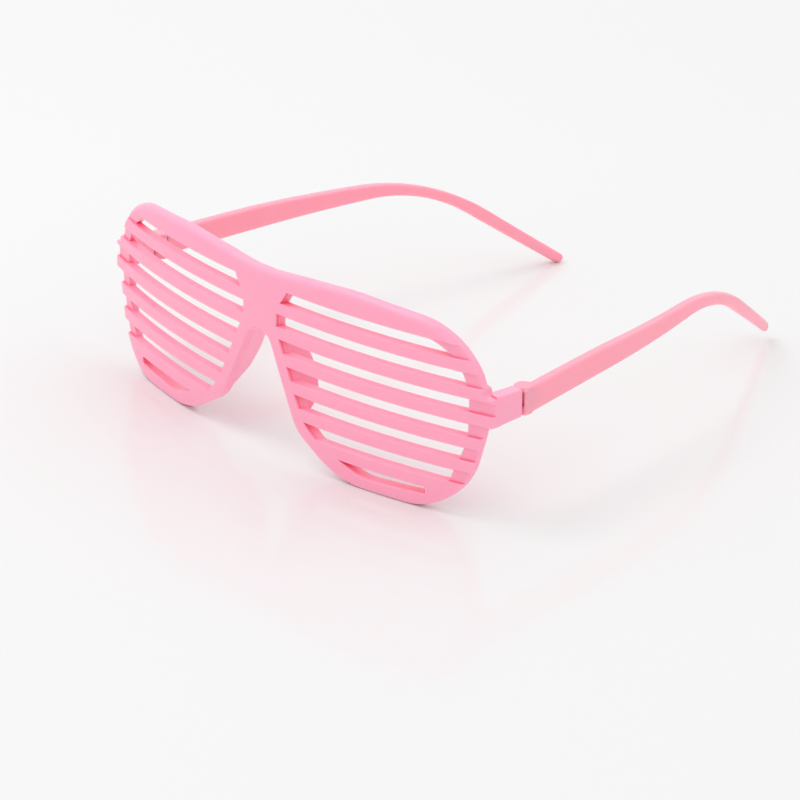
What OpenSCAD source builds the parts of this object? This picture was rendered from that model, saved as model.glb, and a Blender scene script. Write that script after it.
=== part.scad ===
// Party glasses: a one-colour plastic front with slats in place of lenses, and two folding temples.
// Millimetres. The front faces -Y, +Z is up, and +X is the wearer's left.
// The origin is under the middle of the whole object, on the surface it stands on.
// Helper functions and modules work in the front's own coordinates: x from the middle of the
// bridge, y back from the bridge's front face, and heights above the surface.

/* [Rim outline] */
// Width over both rims
rims_w = 133; // [126:1:140]
// Height of the front, at the brow line's two crests
front_h = 47.9; // [46:0.1:52]
// Distance of each crest from the middle
crest_x = 20; // [16:0.5:26]
// How far the brow line dips in the middle
dip_drop = 1.8; // [0.8:0.1:2.4]
// Half the width of the dip
dip_x = 6; // [3:0.5:9]
// How far the brow line falls towards the rim's outer side
corner_drop = 1.7; // [0.5:0.1:2.5]
// Radius of the rim's upper outer corner
corner_r = 18; // [14:0.5:21]
// How far below the brow line's outer end the rim's outer side turns inwards
side_drop = 23.7; // [22:0.1:25]
// Radius of that turn
side_r = 20; // [8:1:24]
// How far inwards the rim's lower outer side comes by the foot
jaw_in = 5.6; // [3:0.1:7]
// Radius of the rim's lower outer corner
jaw_r = 19; // [14:0.5:20]
// Distance from the middle at which the slope to the nose would meet the surface
foot_x = 27.8; // [26:0.1:30]
// Radius of the turn from the foot to that slope
foot_r = 22; // [14:0.5:26]
// Distance from the middle of the corner between that slope and the nose edge
nose_x = 13.7; // [13:0.1:15]
// Height of that corner
nose_h = 8.9; // [8:0.1:10]
// Radius of that corner
nose_r = 8; // [5:0.5:12]
// Height of the arch over the nose
arch_h = 30.6; // [29:0.1:31.6]
// Half the width of the arch at its top
arch_x = 3; // [2.8:0.1:3.6]
// Radius of the arch's two corners
arch_r = 4.5; // [2.5:0.1:4.6]

/* [Rim section] */
// Radius of the front's curve, seen from above
face_r = 222; // [200:1:260]
// Depth of the rims from front to back
rim_depth = 3; // [2.6:0.1:4]
// Angle by which the whole front comes forward towards its foot, in degrees
face_lean = 1.8; // [0.8:0.1:2.6]
// Depth of the sunk ledge that the slats' outer ends cross
ledge_sink = 0.85; // [0.5:0.05:1.1]

/* [Eye openings] */
// Height of the brow bar, where it meets the rim's outer side
bar_h = 3.7; // [3:0.1:4.4]
// Width of each rim at its outer side
rim_side_w = 4.2; // [3.5:0.1:5.5]
// How much lower the opening's outer side turns inwards than the rim's
open_turn_drop = 3; // [1:0.5:5]
// Width of each rim at its lower outer corner, level with the lowest slat
rim_jaw_w = 3.6; // [3:0.1:5]
// Width of the bridge between the openings
bridge_w = 12.6; // [11.2:0.2:14]
// How much further out each opening's upper nose corner lies than its side at the bridge
brow_slant = 3.3; // [2:0.1:4.5]
// How far below the brow bar the bridge is narrowest, at the top of that stretch
bridge_top = 5.2; // [4:0.1:7]
// How far below the brow bar the bridge is narrowest, at the foot of that stretch
bridge_low = 9.9; // [8:0.1:12]
// Width of each rim beside the corner of its nose edge
rim_nose_w = 3.5; // [3.1:0.1:4.5]
// How much higher the opening's lower nose corner lies than that corner
open_nose_rise = 0.7; // [0.4:0.1:1.5]
// Radius of the opening's upper outer corner
open_corner_r = 13.5; // [10:0.5:15]
// Radius of the opening's lower nose corner
open_nose_r = 16; // [10:0.5:17]
// Step in the opening's nose wall, where the front layer is wider than the back one
wall_step = 0.3; // [0.2:0.05:0.5]

/* [Foot slits] */
// Height of the foot bar under the slit below the lowest slat
foot_bar_h = 2.75; // [2.4:0.05:3.4]
// How much higher the foot bar is at the slit's outer end
foot_bar_rise = 0.9; // [0.4:0.1:1.4]
// Distance from the middle at which the slit's underside starts to rise towards the nose
slit_in_x = 34.5; // [33:0.5:38]
// Distance from the middle of the slit's outer end
slit_out_x = 52.3; // [48:0.1:53]

/* [Slats] */
// Number of slats on each side
slat_n = 6; // [4:1:7]
// Height of one slat
slat_h = 3; // [2:0.1:3.4]
// Height of the lowest slat's lower edge
slats_low_h = 5.4; // [5:0.1:6]
// Depth of one slat from front to back
slat_depth = 2.4; // [1.8:0.1:2.6]
// Rounding of a slat's front edges
slat_round = 0.4; // [0.2:0.1:0.6]

/* [Nose pads] */
// Thickness of each nose pad
pad_t = 1.5; // [1.2:0.1:1.9]
// How far a pad stands out behind the rim
pad_stand = 4.5; // [4:0.1:6]
// Height of a pad from its lower to its upper end
pad_h = 16.8; // [16:0.2:19]
// How far below the arch a pad's upper end lies
pad_below_arch = 2.6; // [2:0.1:3.5]
// How far below its upper end a pad's edge turns down
pad_shoulder = 2.4; // [1.6:0.1:3]
// How far below its upper end a pad reaches furthest back
pad_belly = 7.6; // [6:0.1:9]
// How far below its upper end a pad's edge turns back to the rim
pad_heel = 12.4; // [11:0.1:13.5]

/* [End pieces] */
// How far an end piece's outer face stands out past the rim
end_stand = 2.4; // [1.4:0.1:4]
// Thickness of an end piece, from its outer face to its inner face
end_t = 3.4; // [3:0.1:4.6]
// How far back from the bridge's front face an end piece reaches
end_reach = 20.5; // [18:0.1:24]
// Which slat, counted from the top, the upper rib carries on
rib_slat = 2; // [2:1:3]
// How much lower an end piece's top is behind than its upper rib
end_top_fall = 1.9; // [1:0.1:2.4]
// Rounding of an end piece's top where it comes down behind its upper rib
end_top_r = 1.5; // [0.8:0.1:2]
// How much higher an end piece's underside is at the hinge than at the front
end_low_rise = 0.4; // [0.2:0.1:1.2]

/* [Hinges] */
// Radius of a temple's upper and lower knuckles
knuckle_r = 2.5; // [2.2:0.1:2.8]
// How far a temple's knuckles stay inside its end piece's outer face
knuckle_inset = 0.1; // [0:0.05:0.4]
// Radius of an end piece's middle knuckle
tongue_r = 1.7; // [1.5:0.1:1.8]
// Height of a temple's lower knuckle
low_knuckle_h = 2; // [1.6:0.1:2.6]
// Height of an end piece's middle knuckle
tongue_h = 3.3; // [2.4:0.1:3.6]
// How far a temple's upper knuckle stands above its end piece
boss_rise = 0.5; // [0.3:0.1:1]
// Thickness of the cover over the blind end of a pin's hole
pin_cover = 0.7; // [0.5:0.1:0.9]
// Radius of a hinge pin
pin_r = 0.75; // [0.6:0.05:0.85]
// Radial clearance round a pin in the end piece
pin_clear = 0.05; // [0.03:0.01:0.09]
// Radial clearance round a pin in its temple, which holds it
pin_seat = 0.01; // [0.005:0.005:0.02]
// Vertical clearance between knuckles
knuckle_gap = 0.15; // [0.1:0.05:0.3]
// Clearance round a knuckle where another piece passes it
swing_gap = 0.3; // [0.25:0.05:0.4]
// Width of the open joint between an end piece and its temple
joint_gap = 0.9; // [0.6:0.1:1.2]

/* [Temples] */
// Whole depth, from the bridge's front face to the temples' tips
reach = 142.6; // [134:0.2:150]
// Thickness of a temple at its hinge
temple_t = 2.8; // [2.4:0.1:3.4]
// Thickness of a temple at its tip
tip_t = 2.8; // [2.2:0.1:3]
// Angle at which a temple leans inwards, in degrees
temple_in = 7.35; // [5:0.05:9]
// How far back from the bridge's front face a temple starts to curve inwards
curve_y = 55; // [45:0.5:65]
// Radius of a temple's inward curve
curve_r = 290; // [250:5:400]
// Rise of a temple's top edge from its hinge to its highest place
crown_rise = 0.5; // [0.2:0.1:0.8]
// How far back from the bridge's front face the top edge is highest
crown_y = 56; // [48:0.5:62]
// Fall of a temple's top edge, in degrees
top_fall = 1.2; // [0.8:0.1:2]
// Rise of a temple's lower edge, in degrees
low_rise = 2.4; // [1.5:0.1:3]
// Angle at which a temple's ear end drops, in degrees
drop_angle = 36.6; // [32:0.1:41]
// Angle between the upper and lower edges of an ear end, in degrees
drop_taper = 1.3; // [0.6:0.1:2]
// Radius of the bend over the ear, on top
bend_top_r = 62; // [50:1:66]
// Radius of the bend over the ear, underneath
bend_low_r = 45; // [35:1:50]
// Radius of a temple's round tip
tip_r = 1.4; // [1.2:0.05:1.6]

/* [Hidden] */
front_colour = "#ffaac3";
pin_colour = "#f598b4";
large_fn = 360;
small_fn = 48;
arc_step = 5;
far = 400;
over = 1;
rim_x = rims_w / 2;
jaw_x = rim_x - jaw_in;
dip_h = front_h - dip_drop;
corner_h = front_h - corner_drop;
side_h = corner_h - side_drop;
open_top_h = corner_h - bar_h;
open_out_x = rim_x - rim_side_w;
open_turn_h = side_h - open_turn_drop;
open_jaw_x = jaw_x - rim_jaw_w;
open_nose_x = bridge_w / 2;
open_brow_x = open_nose_x + brow_slant;
open_low_x = nose_x + rim_nose_w;
open_low_h = nose_h + open_nose_rise;
end_out_x = rim_x + end_stand;
pad_top_h = arch_h - pad_below_arch;
pad_reach = rim_depth + pad_stand;
slat_pitch = (open_top_h - slats_low_h) / slat_n;
slot_h = slat_pitch - slat_h;
solid_foot_h = slats_low_h + slat_h / 2;
lean_h = open_top_h - slat_pitch + slat_round;
nose_fillet = 5;
slit_fillet = 14;
dip_r = 20;
crest_r = 40;
crown_r = 300;
pad_round = 2;
steps_round_ear = 14;
spare_length = 1.12;
nearly = 0.98;
rib_top_h = slat_low(rib_slat) + slat_h;
rib_low_h = slat_low(rib_slat + 1);
end_top_h = rib_top_h - end_top_fall;
end_low_h = rib_low_h + end_low_rise;
hinge_x = end_out_x - knuckle_r - knuckle_inset;
hinge_y = end_reach + knuckle_r + swing_gap;
joint_y = end_reach + joint_gap;
ear_y = rim_face_y([rim_x, rib_top_h]);
shoulder_y = ear_y + rim_depth - over;
tongue_w = end_t - knuckle_r - knuckle_inset + 0.6 * tongue_r;
boss_top_h = end_top_h + boss_rise;
tongue_low_h = end_low_h + low_knuckle_h + knuckle_gap;
tongue_top_h = tongue_low_h + tongue_h;
pin_top_h = boss_top_h - pin_cover;
tip_y = reach - tip_r;
SIDES = ["left", "right"];

// Name of the k-th slat from the top on one side
function slat_name(side, k) = str(side, "_slat_", k);

// Height of the lower edge of the k-th slat from the top
function slat_low(k) = open_top_h - k * slat_pitch;

// Radius of the front's curve at a height: its face leans, so the radius grows towards the foot
function lean_r(h) = face_r + (lean_h - h) * tan(face_lean);

// How far back the front's face lies at a point [x, height]
function rim_face_y(p) = face_r - sqrt(lean_r(p[1]) ^ 2 - p[0] ^ 2);

// Direction of a vector, with length 1
function unit(v) = v / norm(v);

// Unit vector at an angle
function heading(a) = [cos(a), sin(a)];

// Point where the line through p at angle a crosses the line through q at angle b
function crossing(p, a, q, b) =
    let (u = heading(a), v = heading(b), d = q - p)
    p + u * (d[0] * v[1] - d[1] * v[0]) / (u[0] * v[1] - u[1] * v[0]);

// Points of the arc that rounds the corner at p, between the points before and after it
function corner(before, p, after, r) =
    r == 0 ? [p] :
    let (
        a = unit(before - p),
        b = unit(after - p),
        half = acos(a * b) / 2,
        centre = p + unit(a + b) * r / sin(half),
        start = p + a * r / tan(half) - centre,
        turn = 180 - 2 * half,
        way = a[0] * b[1] - a[1] * b[0] > 0 ? -1 : 1,
        steps = max(2, ceil(turn / arc_step)),
        from = atan2(start[1], start[0])
    )
    [for (i = [0:steps]) centre + r * heading(from + way * turn * i / steps)];

// Closed outline through corners given as [x, y, radius]
function rounded(pts) =
    let (n = len(pts), at = [for (p = pts) [p[0], p[1]]])
    [for (i = [0:n - 1])
        each corner(at[(i + n - 1) % n], at[i], at[(i + 1) % n], pts[i][2])];

// Corners of one half of the front's outline, from the brow's middle round to the arch
half_outline = [
    [0, dip_h, 0],
    [dip_x, dip_h, dip_r],
    [crest_x, front_h, crest_r],
    [rim_x, corner_h, corner_r],
    [rim_x, side_h, side_r],
    [jaw_x, 0, jaw_r],
    [foot_x, 0, foot_r],
    [nose_x, nose_h, nose_r],
    [arch_x, arch_h, arch_r],
    [0, arch_h, 0]
];

// Foremost place on the front, and the middle of the whole object
front_y = min([for (p = rounded(half_outline)) rim_face_y(p)]);
middle_y = (reach + front_y) / 2;

// Corners of one eye opening, with the slit under the lowest slat
eye_opening = [
    [open_brow_x, open_top_h, wall_step],
    [open_nose_x, open_top_h - bridge_top, nose_fillet],
    [open_nose_x, open_top_h - bridge_low, nose_fillet],
    [open_low_x, open_low_h, open_nose_r],
    [slit_in_x, foot_bar_h, slit_fillet],
    [slit_out_x, foot_bar_h + foot_bar_rise, 0],
    [slit_out_x, solid_foot_h, 0],
    [open_jaw_x, solid_foot_h, 0],
    [open_out_x, open_turn_h, side_r],
    [open_out_x, open_top_h, open_corner_r]
];

// Corners of the wider opening in the front layer, out past the rim's outer side
front_opening = [
    [open_brow_x - wall_step, open_top_h, 0],
    [open_nose_x - wall_step, open_top_h - bridge_top, nose_fillet],
    [open_nose_x - wall_step, open_top_h - bridge_low, nose_fillet],
    [open_low_x - wall_step, open_low_h - wall_step, open_nose_r],
    [open_low_x + open_nose_r / 2, solid_foot_h, 0],
    [rim_x + over, solid_foot_h, 0],
    [rim_x + over, open_top_h, 0]
];

// Centre line of a temple seen from above: position at a distance s along its outer face
function outer_at(s) =
    let (
        lead = (curve_y - joint_y) / cos(temple_in),
        start = [end_out_x, joint_y],
        way = 90 + temple_in,
        knee = start + lead * heading(way),
        bend = (s - lead) / curve_r * 180 / PI
    )
    s <= lead ? start + s * heading(way)
        : knee + curve_r * (heading(way + bend - 90) - heading(way - 90));

// Direction of a temple's outer face at a distance s along it
function way_at(s) =
    let (lead = (curve_y - joint_y) / cos(temple_in))
    90 + temple_in + max(0, (s - lead) / curve_r * 180 / PI);

// Outline of a temple seen from above
function temple_plan() =
    let (
        lead = (curve_y - joint_y) / cos(temple_in),
        whole = lead + (reach - curve_y) * spare_length,
        stops = concat([0], [for (i = [0:steps_round_ear]) lead + (whole - lead) * i / steps_round_ear])
    )
    concat(
        [for (s = stops) outer_at(s)],
        [for (i = [len(stops) - 1:-1:0])
            let (s = stops[i], t = temple_t + (tip_t - temple_t) * s / whole)
            outer_at(s) + t * heading(way_at(s) + 90)]
    );

// Outline of a temple seen from the side, as distance back and height
function temple_side() =
    let (
        drop = -drop_angle,
        tip = [tip_y, tip_r],
        ahead = tip_r * heading(drop),
        aside = tip_r * heading(drop + 90),
        top_way = drop - drop_taper / 2,
        low_way = drop + drop_taper / 2,
        crown = [crown_y, end_top_h + crown_rise],
        low_start = [joint_y, end_low_h],
        bend_top = crossing(crown, -top_fall, tip + aside, top_way),
        bend_low = crossing(low_start, low_rise, tip - aside, low_way),
        end_r = tip_r * nearly
    )
    rounded([
        [low_start[0], low_start[1], 0],
        [bend_low[0], bend_low[1], bend_low_r],
        [tip[0] - aside[0] + ahead[0], tip[1] - aside[1] + ahead[1], end_r],
        [tip[0] + aside[0] + ahead[0], tip[1] + aside[1] + ahead[1], end_r],
        [bend_top[0], bend_top[1], bend_top_r],
        [crown[0], crown[1], crown_r],
        [joint_y, end_top_h, 0]
    ]);

// Stands an outline of x and height up, reaching through the whole depth of the front
module upright(points)
    translate([0, far / 2, 0]) rotate([90, 0, 0]) linear_extrude(far) polygon(points);

// Spreads an outline of depth and height sideways from one x to another
module sideways(points, from, to)
    translate([from, 0, 0]) rotate([90, 0, 90]) linear_extrude(to - from) polygon(points);

// Upright cone round the centre of the front's curve: all that lies behind its face at a depth
module behind(depth)
    translate([0, face_r, -far / 4])
        cylinder(
            r1 = lean_r(-far / 4) - depth,
            r2 = lean_r(far / 4) - depth,
            h = far / 2,
            $fn = large_fn
        );

// Moves a piece from the front's own coordinates to the object's origin
module placed() translate([0, -middle_y, 0]) children();

// Draws the left piece, or its mirror image on the right
module on_side(side) mirror([side == "left" ? 0 : 1, 0, 0]) children();

// Whole outline of the front, both halves
module front_outline() {
    upright(rounded(half_outline));
    mirror([1, 0, 0]) upright(rounded(half_outline));
}

// Brow bar, bridge and both rims, with their openings, foot slits and sunk ledges
module front_frame()
    color(front_colour) placed() difference() {
        intersection() {
            front_outline();
            behind(0);
        }
        behind(rim_depth);
        for (side = SIDES) on_side(side) {
            upright(rounded(eye_opening));
            difference() {
                upright(rounded(front_opening));
                behind(ledge_sink);
            }
        }
    }

// Ring of a slat's section, round the centre of the front's curve
module slat_ring(low)
    translate([0, face_r, 0]) rotate_extrude($fn = large_fn)
        polygon(rounded([
            [lean_r(low) - slat_depth, low, 0],
            [lean_r(low), low, slat_round],
            [lean_r(low + slat_h), low + slat_h, slat_round],
            [lean_r(low + slat_h) - slat_depth, low + slat_h, 0]
        ]));

// One slat, from the nose wall across the opening and the ledge to the rim's outer side
module slat(side, k)
    color(front_colour) placed() on_side(side) intersection() {
        slat_ring(slat_low(k));
        front_outline();
        union() {
            upright(rounded(eye_opening));
            difference() {
                upright(rounded(front_opening));
                behind(ledge_sink);
            }
        }
    }

// Nose pad: a curved fin that carries the nose edge on behind the rim
module nose_pad(side)
    color(front_colour) placed() on_side(side) intersection() {
        behind(rim_depth);
        difference() {
            upright(rounded(half_outline));
            translate([pad_t, 0, 0]) upright(rounded(half_outline));
        }
        translate([0, -far / 2, 0]) cube([foot_x, far, arch_h - arch_r / 2]);
        sideways(rounded([
            [0, pad_top_h, 0],
            [rim_depth, pad_top_h, 0],
            [pad_reach - over, pad_top_h - pad_shoulder, pad_round],
            [pad_reach, pad_top_h - pad_belly, pad_round],
            [pad_reach - over, pad_top_h - pad_heel, pad_round],
            [rim_depth - over, pad_top_h - pad_h, 0],
            [0, pad_top_h - pad_h, 0]
        ]), 0, far / 4);
    }

// End piece: the block at the rim's corner, with two ribs in front and a knuckle behind
module end_piece(side)
    color(front_colour) placed() on_side(side) difference() {
        union() {
            intersection() {
                behind(0);
                sideways(rounded([
                    [0, rib_low_h, 0],
                    [shoulder_y, rib_low_h, 0],
                    [end_reach, end_low_h, 0],
                    [end_reach, end_top_h, 0],
                    [ear_y + end_top_fall, end_top_h, end_top_r],
                    [ear_y, rib_top_h, end_top_r],
                    [0, rib_top_h, 0]
                ]), end_out_x - end_t, end_out_x);
            }
            translate([hinge_x, hinge_y, tongue_low_h])
                cylinder(r = tongue_r, h = tongue_h, $fn = small_fn);
            translate([end_out_x - end_t, end_reach - over, tongue_low_h])
                cube([tongue_w, hinge_y - end_reach + over, tongue_h]);
        }
        translate([hinge_x, hinge_y, tongue_low_h - over])
            cylinder(r = pin_r + pin_clear, h = tongue_h + 2 * over, $fn = small_fn);
        difference() {
            front_outline();
            behind(rim_depth);
        }
        difference() {
            translate([0, 0, rib_low_h + slat_h]) cube([far / 4, far / 4, slot_h]);
            behind(ledge_sink);
        }
    }

// Temple: a flat arm with its ear end bent down, and two knuckles round the pin
module temple(side)
    color(front_colour) placed() on_side(side) difference() {
        union() {
            intersection() {
                linear_extrude(far / 4) polygon(temple_plan());
                sideways(temple_side(), 0, far / 4);
            }
            translate([hinge_x, hinge_y, end_low_h])
                cylinder(r = knuckle_r, h = low_knuckle_h, $fn = small_fn);
            translate([hinge_x, hinge_y, tongue_top_h + knuckle_gap])
                cylinder(r = knuckle_r, h = boss_top_h - tongue_top_h - knuckle_gap, $fn = small_fn);
        }
        translate([hinge_x, hinge_y, tongue_low_h - knuckle_gap])
            cylinder(r = tongue_r + swing_gap, h = tongue_h + 2 * knuckle_gap, $fn = small_fn);
        translate([hinge_x - knuckle_r - over, end_reach, tongue_low_h - knuckle_gap])
            cube([
                knuckle_r + over + tongue_r + swing_gap,
                hinge_y - end_reach,
                tongue_h + 2 * knuckle_gap
            ]);
        translate([hinge_x, hinge_y, end_low_h - over])
            cylinder(r = pin_r + pin_seat, h = pin_top_h - end_low_h + over, $fn = small_fn);
    }

// Hinge pin, pushed up from below into its temple
module hinge_pin(side)
    color(pin_colour) placed() on_side(side)
        translate([hinge_x, hinge_y, end_low_h])
            cylinder(r = pin_r, h = pin_top_h - end_low_h, $fn = small_fn);

front_frame();
for (side = SIDES) {
    nose_pad(side);
    end_piece(side);
    temple(side);
    hinge_pin(side);
    for (k = [1:slat_n])
        slat(side, k);
}
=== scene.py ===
"""Party glasses: a pink plastic front with slats for lenses, two folding temples and their pins."""

import logging
import math
from collections.abc import Sequence
from dataclasses import dataclass
from enum import Enum
from typing import Any

import bmesh
import bpy
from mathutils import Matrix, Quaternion, Vector


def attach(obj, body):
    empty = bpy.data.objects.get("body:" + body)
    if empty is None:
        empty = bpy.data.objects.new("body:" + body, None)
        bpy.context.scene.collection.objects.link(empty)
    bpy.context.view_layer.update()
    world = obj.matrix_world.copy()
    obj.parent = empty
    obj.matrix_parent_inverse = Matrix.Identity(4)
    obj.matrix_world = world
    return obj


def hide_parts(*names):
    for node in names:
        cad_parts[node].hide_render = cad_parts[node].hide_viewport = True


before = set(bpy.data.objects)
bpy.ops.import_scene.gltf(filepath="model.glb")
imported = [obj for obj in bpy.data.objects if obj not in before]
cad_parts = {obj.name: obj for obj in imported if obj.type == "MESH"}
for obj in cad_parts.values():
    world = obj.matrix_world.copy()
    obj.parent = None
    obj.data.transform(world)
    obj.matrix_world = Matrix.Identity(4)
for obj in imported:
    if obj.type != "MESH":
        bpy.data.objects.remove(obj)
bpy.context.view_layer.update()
log = logging.getLogger("party_glasses")

FRONT_NODES = [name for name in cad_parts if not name.startswith(("temple", "hinge_pin"))]

# Metres in a millimetre, and how far the object's middle lies behind the bridge's face, in millimetres
MM = 0.001
MIDDLE_Y = 71.0759

# Where a cutter starts in front of the flat front and ends behind it, in millimetres
CUT_FROM = -0.6
CUT_TO = 5.0

# How fine round shapes are, in degrees to a chord and in sides of a post
ARC_STEP = 3.0
POST_SIDES = 48

# Points closer than this are merged, in millimetres, and sharper edges than this stay sharp, in degrees
MERGE = 0.004
SHARP = 32.0

# How much further than a straight side a corner may move when an outline shrinks
MITRE = 1.4

WHITE = (1.0, 1.0, 1.0, 1.0)

Solid = bpy.types.Object
Point = tuple[float, float]
Point3 = tuple[float, float, float]
Colour = tuple[float, float, float, float]


class Side(Enum):
    """The two sides of the glasses, by the sign of their x."""

    LEFT = 1
    RIGHT = -1


class Body(Enum):
    """The bodies that pieces ride on."""

    FRONT = "front"
    LEFT_TEMPLE = "left_temple"
    RIGHT_TEMPLE = "right_temple"


class Slot(Enum):
    """The names of the material slots."""

    FRONT = "front_plastic"
    TEMPLE = "temple_plastic"
    PIN = "pin_plastic"


# Shader maths

class Sock:
    """A node's output that can be added, taken away and multiplied like a number."""

    def __init__(self, tree: "Tree", link: Any) -> None:
        """Keeps the output and the tree that it belongs to.

        Args:
            tree: The tree that new Math nodes go into.
            link: The node's output socket.
        """
        self.tree = tree
        self.link = link

    def _math(self, operation: str, first: Any, second: Any) -> "Sock":
        """Adds one Math node.

        Args:
            operation: The Math node's operation.
            first: A number or another output.
            second: A number or another output.

        Returns:
            The Math node's output.
        """
        return self.tree.node("ShaderNodeMath", {"operation": operation}, {0: first, 1: second})

    def __add__(self, other: Any) -> "Sock":
        """Adds a number or an output."""
        return self._math("ADD", self, other)

    def __radd__(self, other: Any) -> "Sock":
        """Adds this output to a number."""
        return self._math("ADD", other, self)

    def __rsub__(self, other: Any) -> "Sock":
        """Takes this output away from a number."""
        return self._math("SUBTRACT", other, self)

    def __mul__(self, other: Any) -> "Sock":
        """Multiplies by a number or an output."""
        return self._math("MULTIPLY", self, other)


class Tree:
    """A node tree that nodes are added to by type, settings and socket values."""

    def __init__(self, owner: Any) -> None:
        """Empties the tree of a material or a world.

        Args:
            owner: The material or world.
        """
        owner.use_nodes = True
        self.tree = owner.node_tree
        self.tree.nodes.clear()

    def node(self, kind: str, settings: dict[str, Any], values: dict[Any, Any],
             output: Any = 0) -> Sock:
        """Adds a node.

        Args:
            kind: The node's type.
            settings: The node's own settings, such as an operation.
            values: A number, a colour or an output for each named socket.
            output: The name or number of the output that is wanted.

        Returns:
            That output.
        """
        made = self.tree.nodes.new(kind)
        for name, value in settings.items():
            setattr(made, name, value)
        for name, value in values.items():
            if isinstance(value, Sock):
                self.tree.links.new(value.link, made.inputs[name])
            else:
                made.inputs[name].default_value = value
        return Sock(self, made.outputs[output])

    def noise(self, scale: float, detail: float) -> Sock:
        """Adds a noise over Object coordinates.

        Args:
            scale: The noise's scale, in cells to the metre.
            detail: The noise's detail.

        Returns:
            The noise's factor.
        """
        place = self.node("ShaderNodeTexCoord", {}, {}, "Object")
        values = {"Vector": place, "Scale": scale, "Detail": detail}
        return self.node("ShaderNodeTexNoise", {}, values, "Fac")

    def finish(self, shader: Sock, kind: str = "ShaderNodeOutputMaterial") -> None:
        """Links the shader to the tree's output.

        Args:
            shader: The shader's output.
            kind: The type of the output node.
        """
        end = self.tree.nodes.new(kind)
        self.tree.links.new(shader.link, end.inputs["Surface"])


def colour(red: float, green: float, blue: float) -> Colour:
    """Gives the linear colour of a screen colour.

    Args:
        red: From 0 to 255.
        green: From 0 to 255.
        blue: From 0 to 255.

    Returns:
        The linear colour, opaque.
    """
    parts = [value / 255 for value in (red, green, blue)]
    linear = [v / 12.92 if v <= 0.04045 else ((v + 0.055) / 1.055) ** 2.4 for v in parts]
    return (linear[0], linear[1], linear[2], 1.0)


@dataclass(frozen=True)
class MouldedPlastic:
    """Soft, satin, slightly milky injection-moulded plastic in one pink, with painted shade in its gaps and
    corners.
    """

    name: str
    plain: Colour
    deep: Colour
    # The third colour is painted shade: a darker pink put into gaps and corners by ambient occlusion
    painted_shade: Colour
    roughness: float = 0.25
    roughness_drift: float = 0.1
    cloud_cells: float = 38.0
    flow_cells: float = 160.0
    grain_cells: float = 5200.0
    cloud_share: float = 0.7
    # How far the painted shade looks for nearby surfaces, and the openness at which it is full and at which
    # it is gone
    painted_shade_reach: float = 0.004
    painted_shade_full: float = 0.35
    painted_shade_none: float = 0.85
    grain_strength: float = 0.12
    grain_depth: float = 0.00006
    milkiness: float = 0.5
    milk_depth: float = 0.002
    milk_reach: Point3 = (1.0, 0.35, 0.3)

    def make(self) -> bpy.types.Material:
        """Makes the material.

        Returns:
            The material.
        """
        material = bpy.data.materials.new(self.name)
        tree = Tree(material)
        flow = tree.noise(self.flow_cells, 3.0)
        shader = tree.node("ShaderNodeBsdfPrincipled", {}, {
            "Base Color": self.pink(tree, flow),
            "Roughness": self.roughness + flow * self.roughness_drift,
            "IOR": 1.49,
            "Specular IOR Level": 0.5,
            "Subsurface Weight": self.milkiness,
            "Subsurface Radius": self.milk_reach,
            "Subsurface Scale": self.milk_depth,
            "Normal": self.grain(tree),
        })
        tree.finish(shader)
        return material

    def pink(self, tree: Tree, flow: Sock) -> Sock:
        """Mottles the pink faintly, and darkens it in gaps and corners as painted shade.

        Args:
            tree: The material's tree.
            flow: The finer of the two mottles.

        Returns:
            The colour.
        """
        cloud = tree.noise(self.cloud_cells, 2.0)
        mottle = cloud * self.cloud_share + flow * (1 - self.cloud_share)
        mottled = tree.node(
            "ShaderNodeMix", {"data_type": "RGBA"},
            {"Factor": mottle, "A": self.plain, "B": self.deep}, 2)
        # Painted shade: the pink darkens where ambient occlusion finds nearby surfaces
        open_air = tree.node(
            "ShaderNodeAmbientOcclusion", {"samples": 12, "only_local": True},
            {"Distance": self.painted_shade_reach}, "AO")
        painted_shade_mask = tree.node("ShaderNodeMapRange", {"interpolation_type": "SMOOTHSTEP"}, {
            "Value": open_air,
            "From Min": self.painted_shade_full,
            "From Max": self.painted_shade_none,
            "To Min": 1.0,
            "To Max": 0.0,
        })
        return tree.node(
            "ShaderNodeMix", {"data_type": "RGBA"},
            {"Factor": painted_shade_mask, "A": mottled, "B": self.painted_shade}, 2)

    def grain(self, tree: Tree) -> Sock:
        """Gives the surface the faint grain of a sand-blasted mould.

        Args:
            tree: The material's tree.

        Returns:
            The bumped normal.
        """
        return tree.node("ShaderNodeBump", {}, {
            "Strength": self.grain_strength,
            "Distance": self.grain_depth,
            "Height": tree.noise(self.grain_cells, 2.0),
        })


# Outlines and solids, worked out in millimetres

def heading(angle: float) -> Point:
    """Gives the unit vector at an angle in degrees."""
    return (math.cos(math.radians(angle)), math.sin(math.radians(angle)))


def lerp(low: float, high: float, share: float) -> float:
    """Gives the number a share of the way from one to another."""
    return low + (high - low) * share


def between(start: Point, end: Point, share: float) -> Point:
    """Gives the point a share of the way from one to another."""
    return (lerp(start[0], end[0], share), lerp(start[1], end[1], share))


def round_off(radius: float, steps: int) -> list[Point]:
    """Gives the section of a rounded edge, from the face round to the wall.

    Args:
        radius: The radius of the rounding.
        steps: The number of chords.

    Returns:
        How far each point lies in from the wall, and in from the face.
    """
    turns = [math.pi / 2 * number / steps for number in range(steps + 1)]
    return [(radius * (1 - math.sin(turn)), radius * (1 - math.cos(turn))) for turn in turns]


def flare(radius: float, steps: int) -> list[Point]:
    """Gives the section of a cutter that leaves a rounded edge round its hole.

    Args:
        radius: The radius of the rounding.
        steps: The number of chords.

    Returns:
        How much wider than the hole the cutter is, and at which depth.
    """
    section = round_off(radius, steps)[1:]
    return [(section[0][0], CUT_FROM), *section, (0.0, CUT_TO)]


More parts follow.
